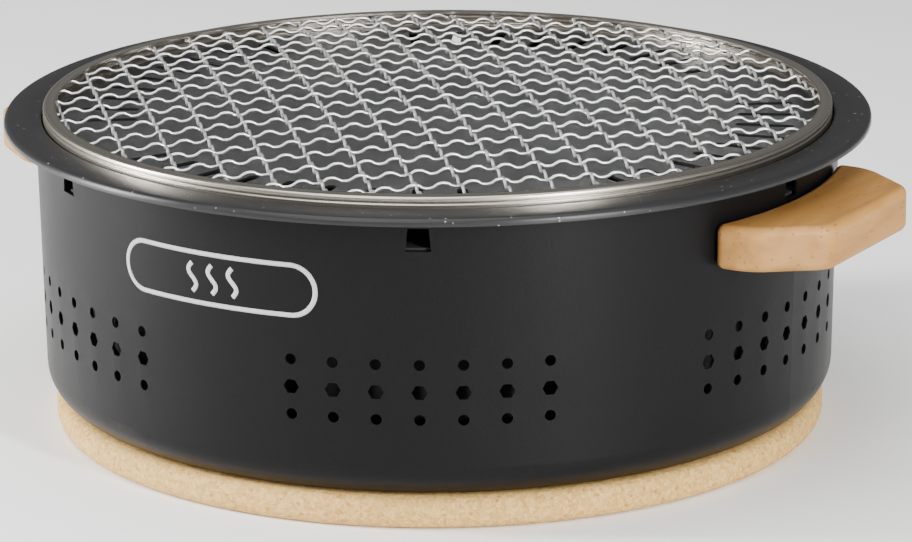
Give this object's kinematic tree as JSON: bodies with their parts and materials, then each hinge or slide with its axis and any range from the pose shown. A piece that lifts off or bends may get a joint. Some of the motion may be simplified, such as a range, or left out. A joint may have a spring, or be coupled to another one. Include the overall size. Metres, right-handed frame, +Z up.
{
  "type": "hibachi grill",
  "caption": "Round tabletop charcoal grill: vented steel body on a cork mat, wooden side handles, lift-out fire bowl, slotted griddle and woven wire net.",
  "frame": {"origin": "centre of the cork mat's underside, on the table", "axes": "+X through the right handle, +Z up, -Y towards the side with the badge"},
  "size_m": [0.3618, 0.326, 0.1266],
  "materials": {
    "cork": "pressed granulated cork, matte",
    "body_coating": "black powder coat with a fine grain",
    "beech": "oiled beech, sanded, rounded edges",
    "insert_brass": "turned brass",
    "fastener_steel": "zinc-plated steel",
    "tray_steel": "plain pressed steel",
    "bowl_coating": "heat-proof matte black",
    "grate_steel": "plain steel, dull",
    "griddle_coating": "smooth satin non-stick black",
    "net_steel": "satin stainless band",
    "wire_steel": "bright stainless wire"
  },
  "bodies": {
    "mat": {"cork_mat": "cork"},
    "stove": {"outer_body": "body_coating", "handle_right": "beech", "handle_left": "beech", "handle_inserts_right": "insert_brass", "handle_inserts_left": "insert_brass", "handle_washers_right": "fastener_steel", "handle_washers_left": "fastener_steel", "handle_screws_right": "fastener_steel", "handle_screws_left": "fastener_steel"},
    "tray": {"ash_tray": "tray_steel"},
    "bowl": {"charcoal_bowl": "bowl_coating"},
    "grate": {"charcoal_grate": "grate_steel", "charcoal_grate_legs": "grate_steel", "charcoal_grate_rivets": "fastener_steel"},
    "griddle": {"griddle_plate": "griddle_coating"},
    "net": {"net_ring": "net_steel", "net_warp_wires": "wire_steel", "net_weft_wires": "wire_steel"}
  },
  "joints": [
    {"name": "stove_lift", "type": "slide", "parent": "mat", "child": "stove", "axis": [0, 0, 1], "range_m": [0, 0.05]},
    {"name": "tray_lift", "type": "slide", "parent": "stove", "child": "tray", "axis": [0, 0, 1], "range_m": [0, 0.125]},
    {"name": "bowl_lift", "type": "slide", "parent": "tray", "child": "bowl", "axis": [0, 0, 1], "range_m": [0, 0.1]},
    {"name": "grate_lift", "type": "slide", "parent": "bowl", "child": "grate", "axis": [0, 0, 1], "range_m": [0, 0.085]},
    {"name": "griddle_lift", "type": "slide", "parent": "grate", "child": "griddle", "axis": [0, 0, 1], "range_m": [0, 0.05]},
    {"name": "net_lift", "type": "slide", "parent": "griddle", "child": "net", "axis": [0, 0, 1], "range_m": [0, 0.04]}
  ]
}
